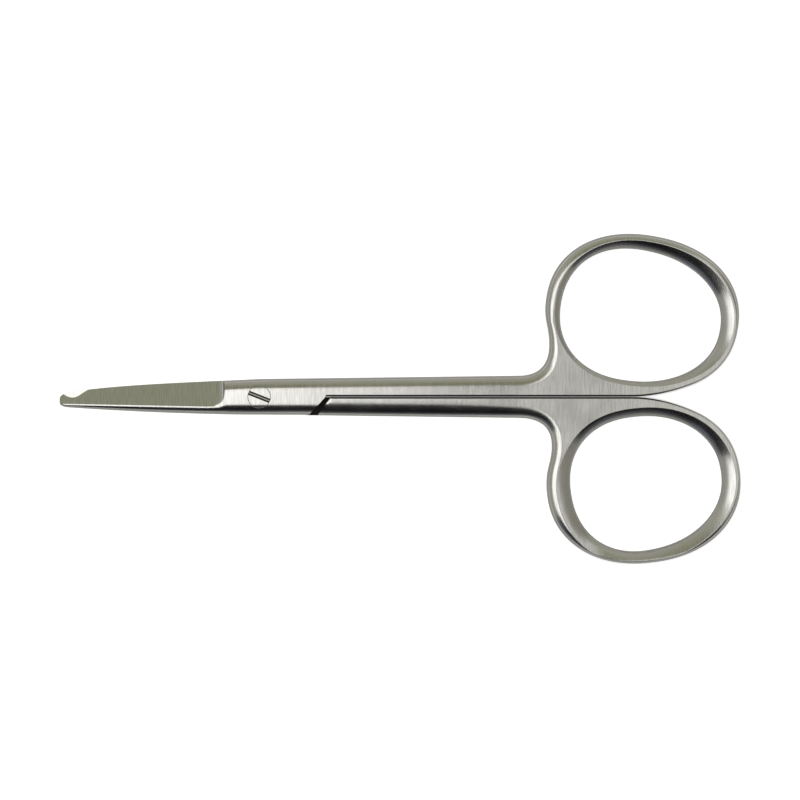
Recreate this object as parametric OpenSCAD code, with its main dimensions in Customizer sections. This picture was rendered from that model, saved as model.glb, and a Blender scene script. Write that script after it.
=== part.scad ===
// Suture scissors with a hooked blade, closed and lying flat.
// The pivot axis is Z through the origin, the rings lie towards +X, the upper ring towards +Y,
// and z = 0 is the surface the scissors rest on. Each half is one forging: blade, joint, shank
// and finger ring. The halves cross in a lap joint, each half as thick there as in its shank,
// and a slotted screw that is threaded into the plain half carries the hooked half.

/* [Thickness] */
// Thickness over the joint, the shanks and the rings
thickness = 3.2; // [2.8:0.1:3.8]
// Thickness of one blade at its tip
tip_thick = 1.05; // [0.8:0.05:1.3]
// Running gap between the inner faces of the two blades
lap_gap = 0.04; // [0.02:0.01:0.08]
// Height of the upright side wall between the two rounded shoulders
wall_h = 0.7; // [0.4:0.1:1.2]

/* [Blades] */
// Distance from the pivot to the nose of the hooked blade
blade_len = 30.75; // [28:0.25:34]
// How much shorter the plain blade is
plain_short = 0.2; // [0:0.05:0.6]
// Distance from the pivot at which the blades begin to get thinner
taper_start = 8; // [6.5:0.5:10]
// Width of a blade's spine side at the nose, from the centre line
spine_tip = 1.55; // [1.4:0.05:1.9]
// How far the cutting edge drops towards the nose, for each mm of length
edge_slope = 0.046; // [0.035:0.001:0.055]
// Extra drop of the hooked blade's edge at its nose
hook_drop = 0.95; // [0.7:0.05:1.1]
// Extra drop of the plain blade's spine at its nose
plain_drop = 0.63; // [0.4:0.01:0.8]
// Setback of the plain blade's edge behind the hooked blade's spine, at the nose
edge_setback = 0.35; // [0.2:0.05:0.6]
// Thickness of the metal left at the cutting edge
edge_thick = 0.14; // [0.08:0.02:0.3]
// Angle of the ground flat on the blade's outer side
grind_angle = 20.3; // [18:0.1:23]
// Distance from the pivot at which the ground flat ends
grind_end = 5.6; // [4.5:0.1:7]
// Radius that the grinding wheel leaves at that end
grind_r = 1.3; // [0.8:0.1:1.6]

/* [Hook] */
// Distance from the nose to the middle of the notch
notch_back = 1.9; // [1.6:0.05:2.4]
// Radius of the notch
notch_r = 1.9; // [1.5:0.1:2.4]
// Height of the bottom of the notch over the centre line
notch_floor = -0.12; // [-0.3:0.02:0.2]
// Slope of the ramp that leads from the notch up to the cutting edge, in degrees
notch_ramp = 33; // [25:1:40]

/* [Joint] */
// Width over the joint at the pivot
joint_w = 5.5; // [5:0.1:6.2]
// Where the lap end of each half starts, on the blade's spine side
lap_end = 7.65; // [7:0.05:8.4]
// Angle of the lap end to the long axis
lap_angle = 47; // [42:1:52]
// Gap along the long axis between a lap end and the other half's shoulder
lap_clear = 0.8; // [0.4:0.1:1.4]
// Angle of the shoulder to the long axis
shoulder_angle = 53.7; // [48:0.1:58]
// Width of the chamfer along the shoulder
chamfer_w = 0.18; // [0.1:0.02:0.3]

/* [Pivot screw] */
// Diameter of the screw's head
head_d = 3.44; // [3:0.02:4]
// Height of the screw's head
head_h = 0.65; // [0.5:0.05:0.9]
// Diameter of the plain shank that the hooked half turns on
pin_d = 2.3; // [1.8:0.1:2.6]
// Diameter of the threaded end in the plain half
thread_d = 2; // [1.6:0.1:2.2]
// Running clearance round the head and the plain shank
pin_clear = 0.03; // [0.02:0.01:0.08]
// Clearance round the threaded end
thread_clear = 0.01; // [0.01:0.01:0.03]
// Width of the slot in the head
slot_w = 0.55; // [0.4:0.05:0.8]
// Depth of the slot in the head
slot_h = 0.35; // [0.2:0.05:0.45]
// Angle of the slot to the long axis
slot_turn = -21.5; // [-90:0.5:90]

/* [Shanks] */
// Gap between the two shanks
split_gap = 0.16; // [0.1:0.02:0.4]
// Where the shanks begin to widen into the rings
neck_x = 39.8; // [38:0.1:40.6]
// Width over both shanks at the neck
neck_w = 6.52; // [6:0.02:7.2]
// Width of the rounded shoulder along the joint, the shanks and the spine
shoulder_w = 1.3; // [1:0.05:1.5]
// Width of the broken edge along the split between the shanks
break_w = 0.2; // [0.1:0.05:0.4]

/* [Both finger rings] */
// Outer length of a ring
ring_l = 29.9; // [28.5:0.1:31.5]
// Width of the crown between the two shoulders of a ring
crown_w = 0.12; // [0.08:0.02:0.4]
// Squareness of the rings and their holes, 2 for an ellipse
squareness = 2.18; // [2:0.02:2.4]
// Tilt of the finger holes' long axes, their far ends towards the centre line
hole_tilt = 9.5; // [6:0.5:14]
// Narrowing of the finger holes towards the far end, as a share of their width
hole_taper = 0.077; // [0:0.001:0.12]

/* [Upper finger ring, on the hooked half] */
// Distance along the long axis from the pivot to the middle of the ring
upper_x = 58.95; // [57.5:0.05:61]
// Distance from the centre line to the middle of the ring
upper_y = 13; // [12.6:0.05:14]
// Outer width of the ring
upper_w = 23.8; // [22.8:0.1:25]
// Tilt of the ring's long axis, its far end towards the centre line
upper_tilt = 10.5; // [6:0.5:14]
// Length of the finger hole
upper_hole_l = 24.8; // [22.5:0.1:25.2]
// Width of the finger hole
upper_hole_w = 20.1; // [18:0.1:20.4]
// Offset of the hole from the middle of the ring, along the long axis
upper_hole_dx = -0.25; // [-0.6:0.05:0.6]
// Offset of the hole away from the centre line
upper_hole_dy = -0.6; // [-0.8:0.05:0.2]
// Most width of the shoulder that falls to the outside of the ring
upper_outer_fall = 1.1; // [0.8:0.1:1.5]
// Width of the shoulder that falls into the hole, where it is narrowest
upper_fall_web = 0.65; // [0.5:0.05:1]
// Width of that shoulder where it is widest, near the far end
upper_fall_far = 2.15; // [1.6:0.05:2.3]
// Angle round the hole at which that shoulder is narrowest
upper_fall_turn = -170; // [-180:5:-100]

/* [Lower finger ring, on the plain half] */
// Distance along the long axis from the pivot to the middle of the ring
lower_x = 59.15; // [57.5:0.05:61]
// Distance from the centre line to the middle of the ring
lower_y = 13.35; // [12.6:0.05:14]
// Outer width of the ring
lower_w = 24.5; // [22.8:0.1:25]
// Tilt of the ring's long axis, its far end towards the centre line
lower_tilt = 7; // [6:0.5:14]
// Length of the finger hole
lower_hole_l = 23.3; // [22:0.1:25.2]
// Width of the finger hole
lower_hole_w = 20.5; // [18:0.1:20.8]
// Offset of the hole from the middle of the ring, along the long axis
lower_hole_dx = 0.4; // [-0.6:0.05:0.6]
// Offset of the hole away from the centre line
lower_hole_dy = -0.15; // [-0.8:0.05:0.2]
// Most width of the shoulder that falls to the outside of the ring
lower_outer_fall = 1.5; // [0.8:0.1:1.6]
// Width of the shoulder that falls into the hole, where it is narrowest
lower_fall_web = 1.35; // [0.8:0.05:1.6]
// Width of that shoulder where it is widest
lower_fall_far = 2.1; // [1.6:0.05:2.3]
// Angle round the hole at which that shoulder is narrowest
lower_fall_turn = -110; // [-180:5:-100]

/* [Hidden] */
half_t = thickness / 2;
joint_half = joint_w / 2;
neck_half = neck_w / 2;
split_y = split_gap / 2;
upper_ring = [[upper_x, upper_y], upper_w, upper_tilt, upper_outer_fall];
upper_hole = [[upper_hole_dx, upper_hole_dy], upper_hole_l, upper_hole_w];
upper_falls = [upper_fall_web, upper_fall_far, upper_fall_turn];
lower_ring = [[lower_x, lower_y], lower_w, lower_tilt, lower_outer_fall];
lower_hole = [[lower_hole_dx, lower_hole_dy], lower_hole_l, lower_hole_w];
lower_falls = [lower_fall_web, lower_fall_far, lower_fall_turn];
steel = [0.74, 0.75, 0.76];
round_fn = 96;

function mix(a, b, u) = a + (b - a) * u;
function bend(a, b, c, u) = mix(mix(a, b, u), mix(b, c, u), u);
function signed_pow(v, p) = sign(v) * pow(abs(v), p);
function span(a, b, n) = [for (i = [0 : n]) mix(a, b, i / n)];

// A point of a squared oval, t = 0 at its far end, whose long axis tilts by -tilt
function oval(mid, l, w, tilt, taper, t) =
  let (c = signed_pow(cos(t), 2 / squareness), s = signed_pow(sin(t), 2 / squareness))
  let (u = l / 2 * c, v = w / 2 * (1 - taper * c) * s)
  mid + [u * cos(tilt) + v * sin(tilt), v * cos(tilt) - u * sin(tilt)];

// Edges of a blade at x, as distances from the centre line. Each curve falls slowly at the
// pivot and faster at the nose, the higher its power the later.
hooked_power = 5;
plain_power = 4;
spine_power = 1.8;
function nose_share(x) = max(0, -x) / blade_len;
function cutting_drop(x) = edge_slope * max(0, -x);
function hooked_edge(x) = joint_half - cutting_drop(x) - hook_drop * pow(nose_share(x), hooked_power);
function hooked_spine(x) = joint_half - (joint_half - spine_tip) * pow(nose_share(x), spine_power);
function plain_spine(x) = joint_half - cutting_drop(x) - plain_drop * pow(nose_share(x), plain_power);
function plain_edge(x) = hooked_spine(x) - edge_setback * nose_share(x);
function shank_edge(x) = mix(joint_half, neck_half, x / neck_x);

// Outlines of one half seen from above, in its own frame with its ring towards +Y.
// Upper line: cutting edge, joint and shank. Lower line: spine, lap end and split.
lap_top_x = lap_end + (joint_half + split_y) / tan(lap_angle);
function upper_line(x, hooked) = x > 0 ? shank_edge(x) : hooked ? hooked_edge(x) : plain_edge(x);
function spine_line(x, hooked) = hooked ? hooked_spine(x) : plain_spine(x);
function lower_line(x, hooked) =
  x < lap_end ? -spine_line(min(x, 0), hooked)
  : min(split_y, -joint_half + (x - lap_end) * tan(lap_angle));

// Places along the blade and the shank where the form has a rib
nose_len = 1.2;
step = 0.05;
function stations(len) = concat(
  [for (u = [0.02, 0.1, 0.3, 0.6, 1]) -len + nose_len * u],
  [for (i = [1 : 12]) mix(-len + nose_len, -taper_start, i / 12)],
  span(-grind_end, lap_end - step, 4),
  span(lap_end, lap_top_x, 8),
  span(lap_top_x + lap_clear, neck_x, 5));

// Rounding of the blade's nose: full width from nose_len on, and a blunt front
blunt = 0.42;
function nose_round(x, len) =
  let (u = min(1, (x + len) / nose_len)) mix(blunt, 1, sqrt(1 - pow(1 - u, 2)));

// Where the line through a with slope k meets the height y
function meets(a, k, y) = [a.x + (y - a.y) / k, y];

// Outline of a ring in its own frame: t runs over the top from the neck to the far end, and
// two bends lead from there to the shank's edge and to the split
neck_t = 200;
rest_t = -52;
join_t = -88;
web_t = -145;
neck_share = 0.5;
web_back = 13;
function along(line, t) = let (d = line(t + 0.5) - line(t - 0.5)) d / norm(d);
function outward(line, t) = let (d = along(line, t)) [d.y, -d.x];
function slope(line, t) = let (d = along(line, t)) d.y / d.x;
function neck_bend(ring, u) =
  let (high = ring(neck_t), corner = meets(high, slope(ring, neck_t), neck_half))
  bend([neck_x, neck_half], corner, high, u);
function rest_corner(ring) = meets(ring(rest_t), slope(ring, rest_t), split_y);
function rest_low(ring) =
  let (high = ring(rest_t), corner = rest_corner(ring))
  [corner.x - (high.x - corner.x), split_y];
function rest_bend(ring, u) = bend(ring(rest_t), rest_corner(ring), rest_low(ring), u);

// Unit vectors that point into the metal, for a line of points that runs clockwise
function inward(line) = [
  for (i = [0 : len(line) - 1])
    let (d = line[min(i + 1, len(line) - 1)] - line[max(i - 1, 0)]) [d.y, -d.x] / norm(d)];

// Rise of the outer shoulder from the side wall to the flat, as a share, u = 1 at the flat. The
// curve stops short of its crest, which leaves a ridge along the flat. The shoulder round a
// finger hole is steeper where it meets the flat.
ridge = 1.15;
hole_power = 0.62;
function rise(u) = sqrt(1 - pow(1 - u / ridge, 2)) / sqrt(1 - pow(1 - 1 / ridge, 2));
function hole_rise(u) = pow(u, hole_power);
side_n = 4;
share_power = 1.7;
wall_most = 0.6;
function wall_height(h) = min(wall_h / 2, h * wall_most);
function shares(n) = [for (j = [0 : n]) pow(j / n, share_power)];

// Points of a rib up to the flat's inner end: over the outer shoulder, of which the width lost
// is cut away, and on to the point end. way points into the metal.
function web_points(out, way, end, h, fall, lost) =
  let (low = wall_height(h), left = max(fall - lost, break_w))
  concat(
    [for (u = shares(side_n))
      let (share = lost < fall ? (lost + (fall - lost) * u) / fall : 1)
      [each (out + way * left * u), mix(low, h, rise(share))]],
    [[each end, h]]);

// Ribs along blade, joint and shank, from the outer edge to the middle line
shoulder_most = 0.96;
function half_height(x, len) =
  x > -taper_start ? half_t : mix(half_t, tip_thick, (-x - taper_start) / (len - taper_start));
function strip_ribs(hooked, len, up) = [
  for (x = stations(len))
    let (top = upper_line(x, hooked), low = lower_line(x, hooked), mid = (top + low) / 2)
    let (k = nose_round(x, len), y = mid + k * ((up ? top : low) - mid))
    let (slant = !up && x >= lap_end && x < lap_top_x, lost = slant ? joint_half + y : 0)
    let (fall = up || x < lap_top_x ? shoulder_w : break_w, room = abs(y - mid) * shoulder_most)
    web_points([x, y], [0, up ? -1 : 1], [x, mid], half_height(x, len),
      slant ? fall : min(fall, room), lost)];

// Ribs of the web between the shank and the finger hole. The middle line runs to the crest of
// the shoulder round the hole.
web_n = 5;
web_turn = 0.6;
function web_ribs(ring, crest, fall, up) =
  let (web_x = rest_low(ring).x - web_back, us = span(0, 1, web_n))
  let (outs = [for (u = us) up ? neck_bend(ring, u * neck_share) : [mix(neck_x, web_x, u), split_y]])
  let (ways = inward(outs)) [
  for (i = [1 : web_n - 1])
    let (mid = bend([neck_x, (neck_half + split_y) / 2], [crest.x - web_turn, crest.y / 2], crest, us[i]))
    web_points(outs[i], up ? ways[i] : [0, 1], mid, half_t, up ? mix(shoulder_w, fall, us[i]) : break_w, 0)];

// Ribs round the ring, as [outer point, angle round the hole, width of the outer shoulder].
// Where the ring is narrow its outer shoulder keeps at least the width edge_least.
edge_least = 0.35;
ring_n = 48;
bend_n = 6;
function ring_places(ring, fall) =
  let (web_x = rest_low(ring).x - web_back) concat(
  [for (u = span(0, 1, bend_n)) if (u < 1)
    [neck_bend(ring, mix(neck_share, 1, u)), mix(360 + web_t, neck_t, u), fall]],
  [for (t = span(neck_t, rest_t, ring_n)) [ring(t), t, fall]],
  [for (u = span(0, 1, bend_n)) if (u > 0)
    [rest_bend(ring, u), mix(rest_t, join_t, u), mix(fall, break_w, u)]],
  [for (u = span(0, 1, bend_n)) if (u > 0)
    [[mix(rest_low(ring).x, web_x, u), split_y], mix(join_t, web_t, u), break_w]]);
function ring_ribs(ring, hole, fall, hole_fall) =
  let (places = ring_places(ring, fall), ways = inward([for (p = places) p[0]])) [
  for (i = [0 : len(places) - 1])
    let (out = places[i][0], t = places[i][1], wall = hole(t), out_way = outward(hole, t))
    let (bar = (out - wall) * out_way - crown_w, wide = min(hole_fall(t), bar - edge_least))
    let (crest = wall + out_way * wide, low = wall_height(half_t))
    concat(
      web_points(out, ways[i], crest, half_t, min(places[i][2], bar - wide), 0),
      [for (j = [side_n - 1 : -1 : 0])
        let (u = shares(side_n)[j]) [each (wall + out_way * wide * u), mix(low, half_t, hole_rise(u))]])];

// One closed skin over all ribs. Ribs of the strip and the web end on the middle line, which
// both sides share, and the ring's ribs end at the wall of the finger hole, where the last one
// meets the first.
module forging(hooked, len, ring, hole, fall, hole_fall) {
  crest = hole(web_t) + outward(hole, web_t) * hole_fall(web_t);
  up = concat(strip_ribs(hooked, len, true), web_ribs(ring, crest, fall, true));
  low = concat(strip_ribs(hooked, len, false), web_ribs(ring, crest, fall, false));
  loop = ring_ribs(ring, hole, fall, hole_fall);
  n_up = len(up);
  n_ring = len(loop);
  ribs = concat(up, loop, [for (i = [n_up - 1 : -1 : 0]) low[i]]);
  n = len(ribs);
  k = side_n + 2;
  all = k + side_n;
  points = [
    for (r = ribs, s = [1, -1])
      for (j = [0 : all - 1]) let (p = r[min(j, len(r) - 1)]) [p.x, p.y, s * p.z]];
  function in_low(i) = i >= n_up + n_ring;
  function shared(i, j) = j < k - 1 ? i : in_low(i) ? n - 1 - i : i == n_up + n_ring - 1 ? n_up : i;
  function at(i, j, top) = shared(i, j) * 2 * all + (top ? 0 : all) + j;
  function two(a, b, c, d) = [[a, b, c], [a, c, d]];
  function is_ring(i) = i >= n_up && i < n_up + n_ring - 1;
  faces = concat(
    [for (i = [0 : n - 2], j = [0 : (is_ring(i) ? all : k) - 2])
      each two(at(i, j, true), at(i + 1, j, true), at(i + 1, j + 1, true), at(i, j + 1, true))],
    [for (i = [0 : n - 2], j = [0 : (is_ring(i) ? all : k) - 2])
      each two(at(i, j + 1, false), at(i + 1, j + 1, false), at(i + 1, j, false), at(i, j, false))],
    [for (i = [0 : n - 2])
      each two(at(i, 0, true), at(i, 0, false), at(i + 1, 0, false), at(i + 1, 0, true))],
    [for (i = [n_up : n_up + n_ring - 2]) let (j = all - 1)
      each two(at(i, j, true), at(i + 1, j, true), at(i + 1, j, false), at(i, j, false))],
    [for (j = [0 : k - 2])
      each two(at(0, j, true), at(0, j + 1, true), at(0, j + 1, false), at(0, j, false))],
    [for (j = [0 : k - 2])
      each two(at(n - 1, j + 1, true), at(n - 1, j, true), at(n - 1, j, false), at(n - 1, j + 1, false))]);
  polyhedron(points, faces, convexity = 10);
}

// Cut that makes room for the other half: everything behind the lap plane, up to the shoulder,
// whose outer edge has a chamfer
module lap_cut() {
  reach = blade_len + joint_w;
  top = joint_w;
  foot = lap_top_x + lap_clear;
  run = top / tan(shoulder_angle);
  translate([0, 0, lap_gap / 2 - thickness])
    linear_extrude(thickness)
      polygon([[-reach, -top], [foot + run, -top], [foot - run, top], [-reach, top]]);
  translate([foot, 0, -half_t])
    rotate([0, 0, 90 - shoulder_angle])
      rotate([0, 45, 0])
        cube([chamfer_w * sqrt(2), 2 * joint_w, chamfer_w * sqrt(2)], center = true);
}

// Flat ground on the outer side of a blade, with the round end that the wheel leaves
module blade_grind() {
  reach = blade_len + joint_w;
  translate([0, joint_half, edge_thick + lap_gap / 2])
    rotate([0, 0, atan(edge_slope)])
      rotate([-grind_angle, 0, 0])
        translate([0, joint_w, 0])
          rotate([90, 0, 0])
            linear_extrude(2 * joint_w + joint_half)
              translate([-grind_end - grind_r, 0]) {
                translate([-reach, 0])
                  square([reach, thickness]);
                translate([0, grind_r])
                  circle(grind_r, $fn = round_fn);
                translate([-reach, grind_r])
                  square([reach + grind_r, thickness]);
              }
}

// Half of the scissors in its own frame, with the lap plane at z = 0. The ring is given as
// [middle, width, tilt, outer shoulder], its hole as [offset from the middle, length, width] and
// the shoulder round the hole as [least width, most width, angle where it is narrowest].
module half(hooked, len, ring, hole, falls) {
  difference() {
    forging(hooked, len,
      function(t) oval(ring[0], ring_l, ring[1], ring[2], 0, t),
      function(t) oval(ring[0] + hole[0], hole[1], hole[2], hole_tilt, hole_taper, t),
      ring[3],
      function(t) mix(falls[0], falls[1], (1 - cos(t - falls[2])) / 2));
    lap_cut();
    blade_grind();
  }
}

// Notch behind the nose: a round bottom and a ramp that leads up to the cutting edge
module notch() {
  high = thickness + joint_w;
  foot = [notch_r * sin(notch_ramp), -notch_r * cos(notch_ramp)];
  translate([notch_back - blade_len, notch_floor + notch_r, -1]) {
    cylinder(h = thickness, r = notch_r, $fn = round_fn);
    linear_extrude(thickness)
      polygon([[0, 0], foot, foot + high * [cos(notch_ramp), sin(notch_ramp)], [0, high]]);
  }
}

module hooked_half() {
  color(steel)
    translate([0, 0, half_t])
      difference() {
        half(true, blade_len, upper_ring, upper_hole, upper_falls);
        notch();
        translate([0, 0, -1])
          cylinder(h = thickness, d = pin_d + 2 * pin_clear, $fn = round_fn);
        translate([0, 0, half_t - head_h])
          cylinder(h = thickness, d = head_d + 2 * pin_clear, $fn = round_fn);
      }
}

module plain_half() {
  color(steel)
    translate([0, 0, half_t])
      rotate([180, 0, 0])
        difference() {
          half(false, blade_len - plain_short, lower_ring, lower_hole, lower_falls);
          translate([0, 0, -1])
            cylinder(h = 2 * thickness, d = thread_d + 2 * thread_clear, $fn = round_fn);
        }
}

module pivot_screw() {
  lap_z = half_t - lap_gap / 2;
  head_z = thickness - head_h + pin_clear;
  color(steel)
    difference() {
      union() {
        cylinder(h = lap_z, d = thread_d, $fn = round_fn);
        translate([0, 0, lap_z])
          cylinder(h = head_z - lap_z, d = pin_d, $fn = round_fn);
        translate([0, 0, head_z])
          cylinder(h = thickness - head_z, d = head_d, $fn = round_fn);
      }
      rotate([0, 0, slot_turn])
        translate([-head_d, -slot_w / 2, thickness - slot_h])
          cube([2 * head_d, slot_w, thickness]);
    }
}

hooked_half();
plain_half();
pivot_screw();
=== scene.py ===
"""Suture scissors with a hooked blade, closed and lying flat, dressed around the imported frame.

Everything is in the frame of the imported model, with the pivot axis along Z through the origin
and the finger rings towards +X. The sizes below are millimetres, as on a drawing, and one
factor turns them to metres. Each half is drawn as it is forged, with its ring towards +Y and
the lap plane at z = 0, and is then put in its place.
"""

import logging
import math
from dataclasses import dataclass, field
from enum import Enum

import bmesh
import bpy
import numpy as np
from mathutils import Matrix, Vector

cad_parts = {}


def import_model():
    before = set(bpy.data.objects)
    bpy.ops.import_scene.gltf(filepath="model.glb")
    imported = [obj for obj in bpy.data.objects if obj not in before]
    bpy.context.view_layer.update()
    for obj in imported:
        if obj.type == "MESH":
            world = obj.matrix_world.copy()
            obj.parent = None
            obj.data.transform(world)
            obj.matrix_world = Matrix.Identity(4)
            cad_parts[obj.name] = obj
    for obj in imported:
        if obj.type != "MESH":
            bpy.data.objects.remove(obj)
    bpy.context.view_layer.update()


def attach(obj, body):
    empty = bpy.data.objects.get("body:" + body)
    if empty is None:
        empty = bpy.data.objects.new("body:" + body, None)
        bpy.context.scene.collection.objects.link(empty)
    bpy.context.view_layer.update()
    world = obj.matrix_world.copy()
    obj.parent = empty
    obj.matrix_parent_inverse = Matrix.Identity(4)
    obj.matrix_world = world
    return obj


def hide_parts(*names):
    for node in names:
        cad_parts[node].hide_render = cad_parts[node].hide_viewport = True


LOG = logging.getLogger("scissors")
MM = 0.001
FAR = 100.0


class Side(Enum):
    """Which of the two halves a forging is."""

    HOOKED = "hooked"
    PLAIN = "plain"


def linear(hex_colour: str) -> tuple[float, float, float, float]:
    """Turn an sRGB hex colour into the linear colour that a shader takes.

    Args:
        hex_colour: Six hexadecimal digits, with or without a leading hash.

    Returns:
        The red, green, blue and alpha values, linear, from 0 to 1.
    """
    digits = hex_colour.lstrip("#")
    parts = [int(digits[i:i + 2], 16) / 255 for i in (0, 2, 4)]
    return (*[p / 12.92 if p <= 0.04045 else ((p + 0.055) / 1.055) ** 2.4 for p in parts], 1.0)


def mix(a, b, u):
    """Value a share u of the way from a to b, for numbers and arrays alike."""
    return a + (b - a) * u


def spread(a: float, b: float, count: int, first: bool = True) -> np.ndarray:
    """Give evenly spaced values from a to b, with or without the first one."""
    values = np.linspace(a, b, count + 1)
    return values if first else values[1:]


def bend(a, b, c, u: np.ndarray) -> np.ndarray:
    """Points of the quadratic bend from a to c whose tangents meet at b.

    Args:
        a: Start of the bend.
        b: Corner where the two tangents meet.
        c: End of the bend.
        u: Shares of the way along the bend.

    Returns:
        One point for each share.
    """
    u = np.atleast_1d(u)[:, None]
    a, b, c = (np.asarray(p, float)[None, :] for p in (a, b, c))
    return mix(mix(a, b, u), mix(b, c, u), u)


@dataclass(frozen=True)
class Oval:
    """A squared oval, such as the outline of a finger ring or of its hole, in mm."""

    mid: tuple[float, float]
    length: float
    width: float
    tilt: float
    taper: float = 0.0
    squareness: float = 2.18

    def at(self, turn: np.ndarray | float) -> np.ndarray:
        """Give points of the oval.

        Args:
            turn: Angles in degrees, 0 at the far end.

        Returns:
            One point a row.
        """
        t = np.radians(np.atleast_1d(np.asarray(turn, float)))
        power = 2 / self.squareness
        c = np.sign(np.cos(t)) * np.abs(np.cos(t)) ** power
        s = np.sign(np.sin(t)) * np.abs(np.sin(t)) ** power
        u = self.length / 2 * c
        v = self.width / 2 * (1 - self.taper * c) * s
        a = math.radians(self.tilt)
        return np.stack([self.mid[0] + u * math.cos(a) + v * math.sin(a),
                         self.mid[1] + v * math.cos(a) - u * math.sin(a)], axis=1)

    def slope(self, turn: float) -> float:
        """Slope of the oval's line at an angle in degrees."""
        a, b = self.at(turn - 0.5)[0], self.at(turn + 0.5)[0]
        return (b[1] - a[1]) / (b[0] - a[0])

    def normals(self, turn: np.ndarray) -> np.ndarray:
        """Unit vectors that point out of the oval at the given angles."""
        along = self.at(np.asarray(turn) + 0.5) - self.at(np.asarray(turn) - 0.5)
        out = np.stack([along[:, 1], -along[:, 0]], axis=1)
        return out / np.linalg.norm(out, axis=1)[:, None]


@dataclass(frozen=True)
class Widths:
    """Width in mm of one band of a half's section, given at some places along it.

    The places are mm along the half or, where the widths come round again, degrees round a ring.
    """

    marks: tuple[tuple[float, float], ...]
    period: float | None = 360.0
    soften: float = 10.0

    def at(self, places: np.ndarray | float) -> np.ndarray:
        """Give the width at any place, passing softly from mark to mark."""
        marks, widths = zip(*self.marks)
        near = np.atleast_1d(places)[:, None] + np.linspace(-self.soften, self.soften, 9)
        return np.interp(near, marks, widths, period=self.period).mean(axis=1)


@dataclass(frozen=True)
class Rib:
    """One rib of a half's plan, from its outer edge to the middle line or a finger hole, in mm.

    The outer shoulder starts at out and is fall wide, of which lost is cut away, and way points
    from it into the metal. Where the rib meets a finger hole, end lies on the hole's wall and
    hole_way points from there into the metal.
    """

    out: np.ndarray
    way: np.ndarray
    end: np.ndarray
    fall: float
    flat: float
    low: float
    lost: float = 0.0
    ridge: float = 1.15
    hole_way: np.ndarray | None = None
    hole_fall: float = 0.0
    hole_low: float = 0.0

    def rows(self, fine: int, crisp: float) -> tuple[list, list]:
        """Lay out the rib's points.

        Args:
            fine: Steps over each shoulder.
            crisp: Distance of the two points that keep a shoulder's crest crisp.

        Returns:
            The points up to the flat's inner end and those on the shoulder of the hole, each
            as a place, its gap to the outer edge and its share of the hole's shoulder.
        """
        steps = (np.arange(fine + 1) / fine) ** 1.7 * self.fall
        gaps = np.sort(np.concatenate([steps, [self.fall - crisp, self.fall + crisp]]))
        start = min(self.lost, self.fall + crisp)
        near = self.out + self.way * np.maximum(gaps - start, 0)[:, None]
        web = [(p, max(g, start), 1.0) for p, g in zip(near, gaps)]
        has_hole = self.hole_way is not None
        crest = self.end + self.hole_way * self.hole_fall if has_hole else self.end
        reach = max(float(np.linalg.norm(crest - near[-1])), 1e-6)
        shares = [0.35, 0.7, 1 - min(0.3, crisp / reach), 1.0]
        web += [(mix(near[-1], crest, u), FAR, 1.0) for u in shares]
        if not has_hole:
            return web, []
        down = np.sort(np.concatenate([steps / self.fall * self.hole_fall,
                                       [self.hole_fall - crisp]]))[::-1][1:]
        hole = [(self.end + self.hole_way * g, FAR, g / self.hole_fall) for g in down]
        return web, hole


def add_node(tree: bpy.types.NodeTree, kind: str, settings: dict | None = None,
             links: dict | None = None) -> bpy.types.Node:
    """Add one node to a tree, with its settings and its inputs.

    Args:
        tree: Node tree that takes the node.
        kind: Blender's type name of the node.
        settings: Values by property name.
        links: By input name or number, an output socket to link or a plain value.

    Returns:
        The new node.
    """
    node = tree.nodes.new(kind)
    for name, value in (settings or {}).items():
        setattr(node, name, value)
    for name, value in (links or {}).items():
        if isinstance(value, bpy.types.NodeSocket):
            tree.links.new(value, node.inputs[name])
        else:
            node.inputs[name].default_value = value
    return node


def plain_mesh(obj: bpy.types.Object) -> bpy.types.Object:
    """Turn an object's evaluated shape into its own plain mesh, with no modifier left."""
    graph = bpy.context.evaluated_depsgraph_get()
    mesh = bpy.data.meshes.new_from_object(obj.evaluated_get(graph))
    obj.modifiers.clear()
    old = obj.data
    obj.data = mesh
    mesh.name = obj.name
    bpy.data.meshes.remove(old)
    return obj


def mesh_object(name: str, points: np.ndarray, faces: list, scale: float = MM) -> bpy.types.Object:
    """Make an object from points and faces, merged where points meet, in the scene.

    Args:
        name: Name of the object and its mesh.
        points: One point a row.
        faces: Lists of point numbers.
        scale: Factor from the points' unit to metres.

    Returns:
        The new object.
    """
    mesh = bpy.data.meshes.new(name)
    mesh.from_pydata((np.asarray(points) * scale).tolist(), [], faces)
    obj = bpy.data.objects.new(name, mesh)
    bpy.context.scene.collection.objects.link(obj)
    return obj


def prism(name: str, levels: list[tuple[float, np.ndarray]]) -> bpy.types.Object:
    """Make a closed block whose outline is given at several heights.

    Args:
        name: Name of the block.
        levels: Pairs of a height and the outline's points there, in mm, from the lowest up.

    Returns:
        The block's object.
    """
    outline = np.asarray(levels[0][1], float)
    x, y = outline[:, 0], outline[:, 1]
    turn = 1 if np.sum(x * np.roll(y, -1) - np.roll(x, -1) * y) > 0 else -1
    n = len(outline)
    points = np.concatenate([np.column_stack([np.asarray(line)[::turn], np.full(n, z)])
                             for z, line in levels])
    faces = [list(range(n - 1, -1, -1)), [n * (len(levels) - 1) + i for i in range(n)]]
    for k in range(len(levels) - 1):
        faces += [[k * n + i, k * n + (i + 1) % n, (k + 1) * n + (i + 1) % n, (k + 1) * n + i]
                  for i in range(n)]
    return mesh_object(name, points, faces)


def block(name: str, outline: np.ndarray, low: float, high: float) -> bpy.types.Object:
    """Make an upright block from an outline between two heights."""
    return prism(name, [(low, outline), (high, outline)])


def disc(radius: float, count: int = 96) -> np.ndarray:
    """Points of a circle round the origin, counter-clockwise."""
    t = np.arange(count) * 2 * math.pi / count
    return np.stack([np.cos(t), np.sin(t)], axis=1) * radius


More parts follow.
